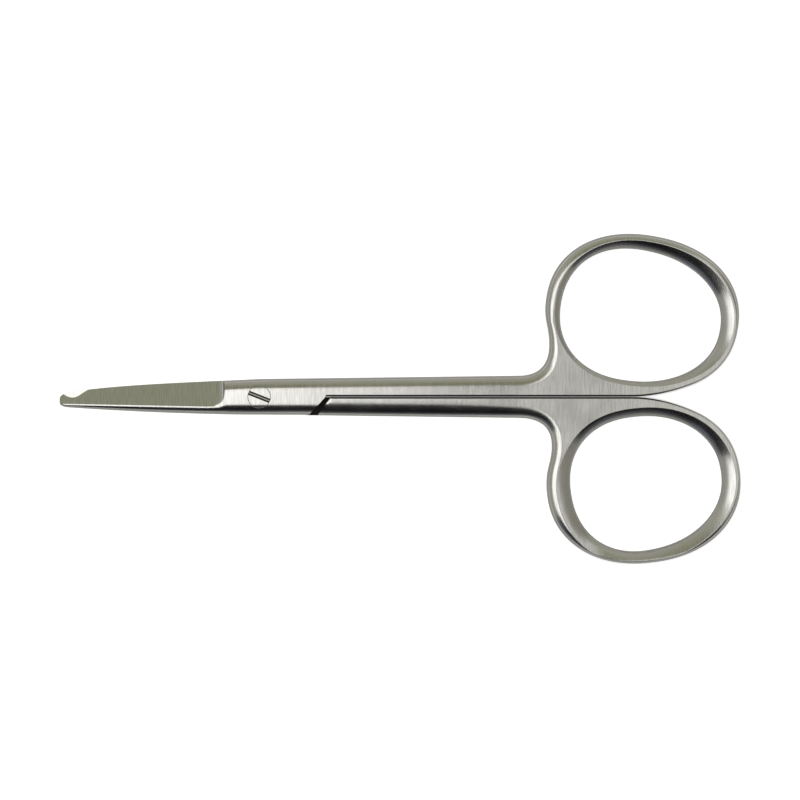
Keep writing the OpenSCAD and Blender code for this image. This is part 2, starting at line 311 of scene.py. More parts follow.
def section_tree() -> bpy.types.NodeTree:
    """Build the tree that raises a flat plan of a half to its forged section.

    The plan's points carry their gap to the outer edge, the width and the ridge of the outer
    shoulder, their share of the shoulder at the finger hole, and the heights of the two walls
    and of the flat there. The tree lifts each point to the lower of its two shoulders, up on
    the top skin and down on the underside.

    Returns:
        The node tree.
    """
    tree = bpy.data.node_groups.new("forged_section", "GeometryNodeTree")
    sockets = tree.interface
    sockets.new_socket("Plan", in_out="INPUT", socket_type="NodeSocketGeometry")
    for name, value in (("Hole power", 0.5), ("Unit", MM)):
        sockets.new_socket(name, in_out="INPUT", socket_type="NodeSocketFloat").default_value = value
    sockets.new_socket("Steel", in_out="INPUT", socket_type="NodeSocketMaterial")
    sockets.new_socket("Half", in_out="OUTPUT", socket_type="NodeSocketGeometry")
    given = add_node(tree, "NodeGroupInput")

    def named(name: str) -> bpy.types.NodeSocket:
        """Read one of the plan's values."""
        return add_node(tree, "GeometryNodeInputNamedAttribute", {"data_type": "FLOAT"},
                        {"Name": name}).outputs["Attribute"]

    def maths(operation: str, a, b=0.0, clamp: bool = False) -> bpy.types.NodeSocket:
        """Add one step of the sum."""
        return add_node(tree, "ShaderNodeMath", {"operation": operation, "use_clamp": clamp},
                        {0: a, 1: b}).outputs[0]

    def arc(share) -> bpy.types.NodeSocket:
        """Height of a round shoulder at a share of its width, before it is scaled."""
        back = maths("SUBTRACT", 1.0, maths("DIVIDE", share, named("ridge")))
        return maths("SQRT", maths("SUBTRACT", 1.0, maths("MULTIPLY", back, back)))

    def lift(low: str, rise: bpy.types.NodeSocket) -> bpy.types.NodeSocket:
        """Height from the top of a wall up to the flat, at a share of that rise."""
        height = maths("SUBTRACT", named("flat_height"), named(low))
        return maths("ADD", named(low), maths("MULTIPLY", height, rise))

    outer_share = maths("DIVIDE", named("edge_gap"), named("edge_fall"), clamp=True)
    outer = lift("wall_height", maths("DIVIDE", arc(outer_share), arc(1.0)))
    inner = lift("hole_height", maths("POWER", named("hole_share"), given.outputs["Hole power"]))
    height = maths("MULTIPLY", maths("MINIMUM", outer, inner), named("skin"))
    place = add_node(tree, "ShaderNodeSeparateXYZ", {}, {0: add_node(
        tree, "GeometryNodeInputPosition").outputs[0]})
    lifted = add_node(tree, "ShaderNodeCombineXYZ", {}, {
        "X": place.outputs["X"], "Y": place.outputs["Y"],
        "Z": maths("MULTIPLY", height, given.outputs["Unit"])})
    moved = add_node(tree, "GeometryNodeSetPosition", {}, {
        "Geometry": given.outputs["Plan"], "Position": lifted.outputs[0]})
    merged = add_node(tree, "GeometryNodeMergeByDistance", {}, {
        "Geometry": moved.outputs[0], "Distance": 1e-7})
    real = add_node(tree, "GeometryNodeRealizeInstances", {}, {"Geometry": merged.outputs[0]})
    dressed = add_node(tree, "GeometryNodeSetMaterial", {}, {
        "Geometry": real.outputs[0], "Material": given.outputs["Steel"]})
    add_node(tree, "NodeGroupOutput", {}, {"Half": dressed.outputs[0]})
    return tree


def run_tree(obj: bpy.types.Object, tree: bpy.types.NodeTree, values: dict) -> bpy.types.Object:
    """Run a geometry tree on an object and keep its result as a plain mesh.

    Args:
        obj: Object whose mesh goes into the tree.
        tree: Geometry node tree.
        values: Values by the name of the tree's input.

    Returns:
        The same object with its new mesh.
    """
    step = obj.modifiers.new(tree.name, "NODES")
    step.node_group = tree
    for item in tree.interface.items_tree:
        if item.name in values:
            step[item.identifier] = values[item.name]
    return plain_mesh(obj)


def cut(obj: bpy.types.Object, tools: list[bpy.types.Object]) -> bpy.types.Object:
    """Cut each tool out of an object and delete the tools."""
    for tool in tools:
        step = obj.modifiers.new(tool.name, "BOOLEAN")
        step.operation = "DIFFERENCE"
        step.solver = "MANIFOLD"
        step.object = tool
    plain_mesh(obj)
    for tool in tools:
        mesh = tool.data
        bpy.data.objects.remove(tool)
        bpy.data.meshes.remove(mesh)
    return obj


@dataclass(frozen=True)
class GroundSteel:
    """Martensitic stainless steel, ground and then satin finished, as surgical scissors are.

    The flats keep fine marks of the belt across the blade, and the rounded shoulders are finished
    along their run and are smoother. Steep faces are painted darker, a painted shade, and the flats
    deep in the recess behind the lap are painted near black, a painted shade in that recess.
    The eye sees bright soft reflections, drawn out a little, with a faint grain.
    """

    name: str
    colour: str = "#CFCEC9"
    shade: str = "#BCBBB6"
    # Darker colour that steep faces take, a painted shade.
    steep_shade_colour: str = "#878682"
    # Near black colour of painted shade, deep in the recess behind the lap or in a screw's slot.
    recess_shade_colour: str = "#2A2825"
    roughness: float = 0.2
    wall_roughness: float = 0.42
    grain_mm: float = 0.14
    grain_length_mm: float = 2.6
    depth_mm: float = 0.0006
    # Where the painted shade lies: from and to along X, low and high in Z, and whether only flats take it.
    recess_shade_from_mm: float = 7.6
    recess_shade_to_mm: float = 12.0
    recess_shade_low_mm: float = 1.4
    recess_shade_high_mm: float = 1.8
    recess_roughness: float = 0.6
    recess_shade_on_flats: bool = True

    def build(self) -> bpy.types.Material:
        """Build the node material.

        The grain of the belt is finer than the picture can show, so it is drawn as coarse as
        it needs to show.

        Returns:
            The material.
        """
        material = bpy.data.materials.new(self.name)
        material.use_nodes = True
        tree = material.node_tree
        tree.nodes.clear()
        place = add_node(tree, "ShaderNodeTexCoord").outputs["Object"]
        parts = add_node(tree, "ShaderNodeSeparateXYZ", {}, {0: place}).outputs

        def noise(vector: bpy.types.NodeSocket, scale: tuple, detail: float) -> bpy.types.NodeSocket:
            """Draw out a noise by its real sizes along the three axes, in mm."""
            lines = add_node(tree, "ShaderNodeMapping", {}, {
                "Vector": vector, "Scale": tuple(1 / s for s in scale)}).outputs[0]
            return add_node(tree, "ShaderNodeTexNoise", {}, {
                "Vector": lines, "Scale": 1.0, "Detail": detail, "Roughness": 0.6}).outputs[0]

        def ramp(value: bpy.types.NodeSocket, a: float, b: float, low: float = 0.0,
                 high: float = 1.0) -> bpy.types.NodeSocket:
            """Pass softly from one value to another while the input goes from a to b."""
            return add_node(tree, "ShaderNodeMapRange", {"interpolation_type": "SMOOTHSTEP"}, {
                "Value": value, "From Min": a, "From Max": b, "To Min": low,
                "To Max": high}).outputs[0]

        def maths(operation: str, a, b=0.0) -> bpy.types.NodeSocket:
            """Add one step of a sum."""
            return add_node(tree, "ShaderNodeMath", {"operation": operation}, {0: a, 1: b}).outputs[0]

        def blend(share, a, b) -> bpy.types.NodeSocket:
            """Mix two colours."""
            return add_node(tree, "ShaderNodeMix", {"data_type": "RGBA"}, {
                0: share, 6: a, 7: b}).outputs[2]

        facing = add_node(tree, "ShaderNodeSeparateXYZ", {}, {0: add_node(
            tree, "ShaderNodeNewGeometry").outputs["Normal"]}).outputs["Z"]
        upright = maths("ABSOLUTE", facing)
        flat = ramp(upright, 0.88, 0.95)
        # wall is 1 on steep faces, which are painted darker below as painted shade.
        wall = ramp(upright, 0.8, 0.6)
        across = noise(place, (self.grain_mm * MM, self.grain_length_mm * MM, self.grain_length_mm * MM), 4.0)
        run = add_node(tree, "ShaderNodeCombineXYZ", {}, {
            name: add_node(tree, "ShaderNodeAttribute", {"attribute_name": layer}).outputs["Fac"]
            for name, layer in (("X", "lay_run"), ("Y", "lay_across"))}).outputs[0]
        along = noise(run, (9.0, 0.22, 1.0), 3.0)
        grain = add_node(tree, "ShaderNodeMix", {"data_type": "FLOAT"}, {
            0: flat, 2: ramp(along, 0.25, 0.75, 0.3, 0.7), 3: ramp(across, 0.3, 0.7)}).outputs[0]
        tone = blend(grain, linear(self.shade), linear(self.colour))
        # Painted shade: steep faces turn to the darker colour.
        tone = blend(wall, tone, linear(self.steep_shade_colour))
        blotch = noise(place, (5 * MM, 5 * MM, 5 * MM), 2.0)
        rough = ramp(blotch, 0.3, 0.7, self.roughness - 0.02, self.roughness + 0.03)
        rough = add_node(tree, "ShaderNodeMix", {"data_type": "FLOAT"}, {
            0: wall, 2: rough, 3: self.wall_roughness}).outputs[0]
        # Painted shade: within the band set below, between two heights and two places along X, the colour
        # turns near black.
        low = ramp(parts["Z"], (self.recess_shade_low_mm - 0.1) * MM, self.recess_shade_low_mm * MM)
        high = ramp(parts["Z"], self.recess_shade_high_mm * MM, (self.recess_shade_high_mm + 0.1) * MM, 1, 0)
        back = ramp(parts["X"], (self.recess_shade_from_mm - 0.6) * MM, self.recess_shade_from_mm * MM)
        front = ramp(parts["X"], self.recess_shade_to_mm * MM, (self.recess_shade_to_mm + 0.6) * MM, 1, 0)
        scale = maths("MULTIPLY", maths("MULTIPLY", low, high), maths("MULTIPLY", back, front))
        if self.recess_shade_on_flats:
            scale = maths("MULTIPLY", scale, flat)
        tone = blend(scale, tone, linear(self.recess_shade_colour))
        rough = add_node(tree, "ShaderNodeMix", {"data_type": "FLOAT"}, {
            0: scale, 2: rough, 3: self.recess_roughness}).outputs[0]
        bump = add_node(tree, "ShaderNodeBump", {}, {
            "Height": grain, "Strength": 1.0, "Distance": self.depth_mm * MM})
        shader = add_node(tree, "ShaderNodeBsdfPrincipled", {}, {
            "Base Color": tone, "Metallic": 1.0, "Roughness": rough,
            "Normal": bump.outputs[0]})
        add_node(tree, "ShaderNodeOutputMaterial", {}, {"Surface": shader.outputs[0]})
        return material


@dataclass
class Forging:
    """One half of the scissors: blade, joint, shank and finger ring, in mm."""

    side: Side
    ring: Oval
    hole: Oval
    hole_falls: Widths
    crowns: Widths
    edge_side: Widths
    spine_side: Widths
    edge_ridge: float
    neck_fall: float
    thickness: float = 3.2
    tip_thick: float = 1.05
    lap_gap: float = 0.04
    wall_h: float = 0.7
    blade_len: float = 30.75
    plain_short: float = 0.2
    taper_start: float = 8.0
    spine_tip: float = 1.55
    edge_slope: float = 0.046
    hook_drop: float = 0.95
    plain_drop: float = 0.63
    edge_setback: float = 0.35
    edge_thick: float = 0.14
    grind_angle: float = 20.3
    grind_end: float = 5.35
    grind_r: float = 1.05
    grind_bend: float = 1.0
    grind_straight: float = 3.0
    land: float = 0.15
    notch_back: float = 1.9
    notch_r: float = 1.9
    notch_floor: float = -0.12
    notch_ramp: float = 33.0
    joint_w: float = 5.5
    lap_end: float = 7.65
    lap_angle: float = 47.0
    lap_clear: float = 0.8
    shoulder_angle: float = 53.7
    shoulder_chamfer: float = 0.22
    chamfer_depth: float = 0.05
    head_d: float = 3.5
    pin_d: float = 2.36
    thread_d: float = 2.02
    head_h: float = 0.65
    rim: float = 0.035
    split_gap: float = 0.1
    neck_x: float = 39.8
    neck_w: float = 6.52
    break_w: float = 0.27
    nose_len: float = 1.2
    blunt: float = 0.42
    neck_turn: float = 200.0
    rest_turn: float = -52.0
    join_turn: float = -88.0
    web_turn: float = -145.0
    neck_share: float = 0.5
    web_back: float = 8.5
    wall_most: float = 0.6
    edge_least: float = 0.3
    steepest: float = 1.05
    soft_ridge: float = 1.02
    spine_ridge: float = 1.04
    mid_share: float = 0.13
    fine: int = 10
    crisp: float = 0.03
    ribs: list[Rib] = field(default_factory=list)

    @property
    def hooked(self) -> bool:
        """Whether this half carries the hook."""
        return self.side is Side.HOOKED

    @property
    def half_t(self) -> float:
        """Thickness of one half of the closed joint."""
        return self.thickness / 2

    @property
    def length(self) -> float:
        """Distance from the pivot to this half's nose."""
        return self.blade_len - (0 if self.hooked else self.plain_short)

    @property
    def split_y(self) -> float:
        """Height of this half's side of the split over the centre line."""
        return self.split_gap / 2

    @property
    def lap_top_x(self) -> float:
        """Where the slanted lap end meets the split."""
        rise = self.joint_w / 2 + self.split_y
        return self.lap_end + rise / math.tan(math.radians(self.lap_angle))

    def top_line(self, x: np.ndarray) -> np.ndarray:
        """Upper outline of blade, joint and shank at x."""
        s = np.maximum(0, -x) / self.blade_len
        half = self.joint_w / 2
        if self.hooked:
            blade = half - self.edge_slope * np.maximum(0, -x) - self.hook_drop * s ** 5
        else:
            blade = half - (half - self.spine_tip) * s ** 1.8 - self.edge_setback * s
        return np.where(x > 0, mix(half, self.neck_w / 2, x / self.neck_x), blade)

    def low_line(self, x: np.ndarray) -> np.ndarray:
        """Lower outline of blade, joint and shank at x."""
        s = np.maximum(0, -x) / self.blade_len
        half = self.joint_w / 2
        if self.hooked:
            spine = half - (half - self.spine_tip) * s ** 1.8
        else:
            spine = half - self.edge_slope * np.maximum(0, -x) - self.plain_drop * s ** 4
        slant = -half + (x - self.lap_end) * math.tan(math.radians(self.lap_angle))
        return np.where(x < self.lap_end, -spine, np.minimum(self.split_y, slant))

    def flat_height(self, x: np.ndarray) -> np.ndarray:
        """Height of the flat over the lap plane at x, which falls towards the nose."""
        share = np.clip((-x - self.taper_start) / (self.length - self.taper_start), 0, 1)
        return mix(self.half_t, self.tip_thick, share)

    def stations(self) -> np.ndarray:
        """Places of the ribs along blade, joint and shank."""
        nose = -self.length + self.nose_len * (1 - np.cos(spread(0.06, 1, 14) * math.pi / 2))
        return np.concatenate([
            nose,
            spread(nose[-1], -self.grind_end, 60, False),
            spread(-self.grind_end, self.lap_end, 30, False)[:-1],
            spread(self.lap_end - 0.02, self.lap_top_x, 24),
            spread(self.lap_top_x, self.neck_x, 60, False)])

    def neck_bend(self, u: np.ndarray) -> np.ndarray:
        """Outer line from the shank into the ring."""
        high = self.ring.at(self.neck_turn)[0]
        slope = self.ring.slope(self.neck_turn)
        corner = (high[0] + (self.neck_w / 2 - high[1]) / slope, self.neck_w / 2)
        return bend((self.neck_x, self.neck_w / 2), corner, high, u)

    def rest_line(self) -> tuple[np.ndarray, np.ndarray, np.ndarray]:
        """Start, corner and end of the bend from the ring down to the split."""
        high = self.ring.at(self.rest_turn)[0]
        slope = self.ring.slope(self.rest_turn)
        corner = np.array([high[0] + (self.split_y - high[1]) / slope, self.split_y])
        return high, corner, np.array([2 * corner[0] - high[0], self.split_y])

    def shoulders(self, xs: np.ndarray, up: bool) -> np.ndarray:
        """Width of the rounded shoulder along blade, joint and shank.

        Args:
            xs: Places along the half.
            up: Whether it is the side of the cutting edge, or else that of the spine, where the
                shoulder leaves a narrow land beside the ground flat.

        Returns:
            One width for each place.
        """
        if up:
            return self.edge_side.at(xs)
        depth = self.flat_height(xs) - self.edge_thick - self.lap_gap / 2
        grind_foot = (self.joint_w / 2 + self.edge_slope * xs
                      - depth / math.tan(math.radians(self.grind_angle)))
        beside = np.maximum(grind_foot - self.low_line(xs) - self.land, self.edge_least)
        whole = self.spine_side.at(xs)
        behind = np.clip((xs + self.grind_end + 1) / 1.6, 0, 1)
        return np.minimum(whole, mix(beside, whole, behind * behind * (3 - 2 * behind)))

    def strip_ribs(self, up: bool) -> list[Rib]:
        """Ribs along blade, joint and shank, on one side of the middle line."""
        xs = self.stations()
        top, low = self.top_line(xs), self.low_line(xs)
        mids = mix(low, top, np.interp(xs, [self.lap_end, self.lap_top_x], [0.5, self.mid_share]))
        front = np.clip((xs + self.length) / self.nose_len, 0, 1)
        rounding = mix(self.blunt, 1, np.sqrt(1 - (1 - front) ** 2))
        ys = mids + rounding * ((top if up else low) - mids)
        way = np.array([0, -1.0 if up else 1.0])
        ribs = []
        for x, y, mid, flat, fall in zip(xs, ys, mids, self.flat_height(xs), self.shoulders(xs, up)):
            before = x <= self.lap_top_x - 0.01
            slant = not up and x >= self.lap_end and before
            if not (up or before):
                fall = self.break_w
            ribs.append(Rib(
                np.array([x, y]), way, np.array([x, mid]),
                fall if slant else min(fall, abs(y - mid) * 0.96), flat,
                min(self.wall_h / 2, flat * self.wall_most),
                y + self.joint_w / 2 if slant else 0.0,
                self.edge_ridge if up else self.spine_ridge))
        return ribs

    def web_ribs(self, up: bool, web_x: float) -> list[Rib]:
        """Ribs of the web between the shank and the finger hole, on one side of its middle."""
        shares = spread(0, 1, 20, False)[:-1]
        corner = self.hole.at(self.web_turn)[0]
        crest = corner + self.hole.normals([self.web_turn])[0] * self.hole_falls.at(self.web_turn)
        start = mix(self.split_y, self.neck_w / 2, self.mid_share)
        mids = bend((self.neck_x, start), (crest[0] - 0.9, start + 0.3), crest, shares)
        wall = self.wall_h / 2
        if up:
            outs = self.neck_bend(shares * self.neck_share)
            ways = self.inward(np.vstack([[self.neck_x, outs[0, 1]], outs]))[1:]
            falls = mix(self.edge_side.at(self.neck_x), self.neck_fall, shares)
            ridges = mix(self.edge_ridge, self.soft_ridge, shares)
        else:
            outs = np.column_stack([mix(self.neck_x, web_x, shares),
                                    np.full(len(shares), self.split_y)])
            ways = np.tile([0, 1.0], (len(shares), 1))
            falls, ridges = np.full(len(shares), self.break_w), np.full(len(shares), 1.15)
        return [Rib(out, way, mid, fall, self.half_t, wall, ridge=ridge)
                for out, way, mid, fall, ridge in zip(outs, ways, mids, falls, ridges)]

    def ring_ribs(self, web_x: float) -> list[Rib]:
        """Ribs round the finger ring, each from its outer edge to the wall of the hole."""
        high, corner, low = self.rest_line()
        neck = spread(0, 1, 24)[:-1]
        round_turns = spread(self.neck_turn, self.rest_turn, 220)
        rest = spread(0, 1, 26, False)
        split = spread(0, 1, 26, False)
        outs = np.vstack([
            self.neck_bend(mix(self.neck_share, 1, neck)), self.ring.at(round_turns),
            bend(high, corner, low, rest),
            np.column_stack([mix(low[0], web_x, split), np.full(len(split), self.split_y)])])
        turns = np.concatenate([
            mix(360 + self.web_turn, self.neck_turn, neck), round_turns,
            mix(self.rest_turn, self.join_turn, rest),
            mix(self.join_turn, self.web_turn, split)])
        ways, hole_ways = self.inward(outs), self.hole.normals(turns)
        ends = self.hole.at(turns)
        bars = np.einsum("ij,ij->i", outs - ends, hole_ways)
        inner = np.minimum(self.hole_falls.at(turns), bars - self.edge_least - 0.2)
        falls = np.clip(bars - inner - self.crowns.at(turns), self.edge_least, self.neck_fall)
        a, b = len(neck), len(neck) + len(round_turns)
        falls[:a] = mix(self.neck_fall, falls[a], neck)
        falls[b:b + len(rest)] = mix(falls[b - 1], self.break_w, rest)
        falls[b + len(rest):] = self.break_w
        soft = np.interp(turns, [self.web_turn, 135, 165, 360], [0, 0, 1, 1])
        ridges = mix(1.15, self.soft_ridge, soft)
        wall = self.wall_h / 2
        return [Rib(out, way, end, fall, self.half_t, wall, 0.0, ridge, hole_way, width,
                    max(wall, self.half_t - self.steepest * width))
                for out, way, end, fall, ridge, hole_way, width
                in zip(outs, ways, ends, falls, ridges, hole_ways, inner)]

    def plan(self) -> tuple[int, int]:
        """Lay out all ribs of the half, clockwise from the nose over the upper side.

        Returns:
            How many ribs run to the middle line on the upper side, and how many run to the
            finger hole.
        """
        web_x = self.rest_line()[2][0] - self.web_back
        upper = self.strip_ribs(True) + self.web_ribs(True, web_x)
        lower = self.strip_ribs(False) + self.web_ribs(False, web_x)
        ring = self.ring_ribs(web_x)
        self.ribs = upper + ring + lower[::-1]
        return len(upper), len(ring)

    @staticmethod
    def inward(points: np.ndarray) -> np.ndarray:
        """Unit vectors to the right of a chain of points that runs clockwise."""
        along = np.gradient(points, axis=0)
        right = np.stack([along[:, 1], -along[:, 0]], axis=1)
        return right / np.linalg.norm(right, axis=1)[:, None]

    def skin(self, material: bpy.types.Material) -> bpy.types.Object:
        """Make the closed skin of the forging, before its cuts.

        Args:
            material: Steel of the half.

        Returns:
            The half's object.
        """
        n_up, n_ring = self.plan()
        points, values, numbers = [], [], []
        run, last = 0.0, self.ribs[0].out
        for rib in self.ribs:
            run, last = run + float(np.linalg.norm(rib.out - last)), rib.out
            web, hole = rib.rows(self.fine, self.crisp)
            both = []
            for skin in (1.0, -1.0):
                both.append(list(range(len(points), len(points) + len(web + hole))))
                for place, gap, share in web + hole:
                    points.append((place[0], place[1], 0.0))
                    values.append((gap, rib.fall, rib.ridge, share, rib.flat, rib.low, rib.hole_low,
                                   skin, run, np.linalg.norm(place - rib.out)))
            numbers.append(both)
        k = len(self.ribs[0].rows(self.fine, self.crisp)[0])
        faces = []

        def sheet(a: int, b: int, count: int) -> None:
            """Join two ribs on the top and on the underside, over their first points."""
            for j in range(count - 1):
                t, u = numbers[a][0], numbers[b][0]
                faces.append([t[j], u[j], u[j + 1], t[j + 1]])
                t, u = numbers[a][1], numbers[b][1]
                faces.append([t[j + 1], u[j + 1], u[j], t[j]])

        def wall(a: int, b: int, j: int, outer: bool) -> None:
            """Join the top and the underside along one edge."""
            quad = [numbers[a][0][j], numbers[a][1][j], numbers[b][1][j], numbers[b][0][j]]
            faces.append(quad if outer else quad[::-1])

        total = len(self.ribs)
        for i in range(total - 1):
            in_ring = n_up <= i < n_up + n_ring - 1
            sheet(i, i + 1, len(numbers[n_up][0]) if in_ring else k)
            wall(i, i + 1, 0, True)
            if in_ring:
                wall(i, i + 1, -1, False)
        for j in range(k - 1):
            first, last = numbers[0], numbers[-1]
            faces.append([first[0][j], first[0][j + 1], first[1][j + 1], first[1][j]])
            faces.append([last[0][j + 1], last[0][j], last[1][j], last[1][j + 1]])
        obj = mesh_object(f"{self.side.value}_half_steel", np.array(points),
                          [face[::-1] for face in faces])
        table = np.array(values, np.float32)
        names = ("edge_gap", "edge_fall", "ridge", "hole_share", "flat_height", "wall_height",
                 "hole_height", "skin", "lay_run", "lay_across")
        for column, name in enumerate(names):
            layer = obj.data.attributes.new(name, "FLOAT", "POINT")
            layer.data.foreach_set("value", np.ascontiguousarray(table[:, column]))
        run_tree(obj, section_tree(), {"Steel": material})
        for name in names[:-2]:
            obj.data.attributes.remove(obj.data.attributes[name])
        return obj

    def lap_tool(self) -> bpy.types.Object:
        """Cut that makes room for the other half, with a small chamfer at the shoulder."""
        reach, top = self.blade_len + self.joint_w, self.joint_w
        foot = self.lap_top_x + self.lap_clear
        run = top / math.tan(math.radians(self.shoulder_angle))
        across = self.shoulder_chamfer / math.sin(math.radians(self.shoulder_angle))

        def line(shift: float) -> np.ndarray:
            """Outline with its shoulder moved along the shank."""
            return np.array([[-reach, -top], [foot + run + shift, -top],
                             [foot - run + shift, top], [-reach, top]])

        under = -self.half_t
        return prism("lap_cut", [
            (under - 4 * self.chamfer_depth, line(5 * across)),
            (under + self.chamfer_depth, line(0)),
            (self.lap_gap / 2, line(0))])

    def grind_tool(self) -> bpy.types.Object:
        """Flat ground on the outer side of the blade, with the wheel's curved end."""
        reach = self.blade_len + self.joint_w
        t = np.radians(spread(0, 74, 28))
        end = np.column_stack([-self.grind_end - self.grind_bend * (1 - np.cos(t)),
                               -self.grind_straight - self.grind_bend * np.sin(t)])
        end = np.vstack([[-self.grind_end, self.joint_w], end, [end[-1, 0], -3 * self.joint_w]])
        levels = []
        for height in [*spread(0, self.grind_r, 16), 2 * self.thickness]:
            back = max(0.0, self.grind_r - height)
            shift = self.grind_r - math.sqrt(self.grind_r ** 2 - back ** 2)
            edge = end - [shift, 0]
            levels.append((height, np.vstack([
                [[-2 * reach, self.joint_w], [-2 * reach, -3 * self.joint_w]], edge[::-1]])))
        tool = prism("grind", levels)
        turn = (Matrix.Translation(Vector((0, self.joint_w / 2, self.edge_thick + self.lap_gap / 2)) * MM)
                @ Matrix.Rotation(math.atan(self.edge_slope), 4, "Z")
                @ Matrix.Rotation(math.radians(-self.grind_angle), 4, "X"))
        tool.data.transform(turn)
        return tool

    def height_at(self, x: np.ndarray, y: np.ndarray) -> np.ndarray:
        """Height of the joint's outer skin over the lap plane, at places near the pivot."""
        rises = []
        for gap, fall, ridge in ((self.top_line(x) - y, self.edge_side.at(x), self.edge_ridge),
                                 (y - self.low_line(x), self.shoulders(x, False), self.spine_ridge)):
            share = np.clip(gap / fall, 0, 1)
            rises.append(np.sqrt(1 - (1 - share / ridge) ** 2) / math.sqrt(1 - (1 - 1 / ridge) ** 2))
        return mix(self.wall_h / 2, self.half_t, np.minimum(*rises))

    def place(self, obj: bpy.types.Object) -> bpy.types.Object:
        """Put the finished half where it lies in the closed scissors."""
        lift = Matrix.Translation(Vector((0, 0, self.half_t)) * MM)
        if not self.hooked:
            lift = lift @ Matrix.Rotation(math.pi, 4, "X")
        obj.data.transform(lift)
        return obj

    def own_tools(self) -> list[bpy.types.Object]:
        """Cuts that only this half has."""
        raise NotImplementedError

    def build(self, material: bpy.types.Material) -> bpy.types.Object:
        """Build the half, with its cuts, in its place.

        Args:
            material: Steel of the half.

        Returns:
            The finished object.
        """
        obj = self.skin(material)
        cut(obj, [self.lap_tool(), self.grind_tool(), *self.own_tools()])
        self.place(obj)
        finish_edges(obj)
        return obj


def finish_edges(obj: bpy.types.Object, angle: float = 17.0) -> None:
    """Shade an object smooth, with a hard line where faces meet at more than an angle."""
    mesh = obj.data
    mesh.shade_smooth()
    mesh.set_sharp_from_angle(angle=math.radians(angle))


@dataclass
class HookedHalf(Forging):
    """The half whose blade ends in the hook, with the seat of the screw's head."""

    def own_tools(self) -> list[bpy.types.Object]:
        """Notch behind the nose, bore and seat of the screw.

        Returns:
            The cutting tools.
        """
        mid = (self.notch_back - self.blade_len, self.notch_floor + self.notch_r)
        ramp = math.radians(self.notch_ramp)
        t = np.radians(spread(self.notch_ramp - 90, -200, 60))
        arc = np.column_stack([mid[0] + self.notch_r * np.cos(t), mid[1] + self.notch_r * np.sin(t)])
        start = arc[0]
        far = start + np.array([math.cos(ramp), math.sin(ramp)]) * 6
        outline = np.vstack([arc, [[arc[-1][0] - 2, mid[1] + 5]], [[far[0], mid[1] + 5]], [far]])[::-1]
        notch = block("notch", outline, -1, self.thickness)
        bore = block("bore", disc(self.pin_d / 2), -1, self.thickness)
        seat_z = self.half_t - self.head_h
        radius = self.head_d / 2
        seat = prism("seat", [
            (seat_z, disc(radius)), (self.half_t - self.rim, disc(radius)),
            (self.half_t, disc(radius + self.rim)),
            (self.half_t + self.rim, disc(radius + 2 * self.rim))])
        return [notch, bore, seat]


@dataclass
class PlainHalf(Forging):
    """The half with the plain blade, into which the screw is threaded."""

    def own_tools(self) -> list[bpy.types.Object]:
        """Hole for the threaded end of the screw."""
        return [block("thread", disc(self.thread_d / 2), -self.thickness, self.thickness)]


def thread_tree() -> bpy.types.NodeTree:
    """Build the tree that wraps a flat grid round the screw's axis and cuts its thread.

    The grid's X is the turn in radians, and its points carry their radius, their height and
    how deep the thread is there.

    Returns:
        The node tree.
    """
    tree = bpy.data.node_groups.new("turned_screw", "GeometryNodeTree")
    sockets = tree.interface
    sockets.new_socket("Grid", in_out="INPUT", socket_type="NodeSocketGeometry")
    for name, value in (("Pitch", 0.4), ("Unit", MM)):
        sockets.new_socket(name, in_out="INPUT", socket_type="NodeSocketFloat").default_value = value
    sockets.new_socket("Steel", in_out="INPUT", socket_type="NodeSocketMaterial")
    sockets.new_socket("Screw", in_out="OUTPUT", socket_type="NodeSocketGeometry")
    given = add_node(tree, "NodeGroupInput")

    def named(name: str) -> bpy.types.NodeSocket:
        """Read one of the grid's values."""
        return add_node(tree, "GeometryNodeInputNamedAttribute", {"data_type": "FLOAT"},
                        {"Name": name}).outputs["Attribute"]

    def maths(operation: str, a, b=0.0) -> bpy.types.NodeSocket:
        """Add one step of the sum."""
        return add_node(tree, "ShaderNodeMath", {"operation": operation}, {0: a, 1: b}).outputs[0]

    turn, height = named("turn"), named("height")
    lead = maths("SUBTRACT", maths("DIVIDE", height, given.outputs["Pitch"]),
                 maths("DIVIDE", turn, 2 * math.pi))
    tooth = maths("MULTIPLY", maths("PINGPONG", lead, 0.5), 2.0)
    radius = maths("SUBTRACT", named("radius"), maths("MULTIPLY", tooth, named("thread")))
    metres = maths("MULTIPLY", radius, given.outputs["Unit"])
    place = add_node(tree, "ShaderNodeCombineXYZ", {}, {
        "X": maths("MULTIPLY", metres, maths("COSINE", turn)),
        "Y": maths("MULTIPLY", metres, maths("SINE", turn)),
        "Z": maths("MULTIPLY", height, given.outputs["Unit"])})
    moved = add_node(tree, "GeometryNodeSetPosition", {}, {
        "Geometry": given.outputs["Grid"], "Position": place.outputs[0]})
    merged = add_node(tree, "GeometryNodeMergeByDistance", {}, {
        "Geometry": moved.outputs[0], "Distance": 1e-7})
    real = add_node(tree, "GeometryNodeRealizeInstances", {}, {"Geometry": merged.outputs[0]})
    dressed = add_node(tree, "GeometryNodeSetMaterial", {}, {
        "Geometry": real.outputs[0], "Material": given.outputs["Steel"]})
    add_node(tree, "NodeGroupOutput", {}, {"Screw": dressed.outputs[0]})
    return tree


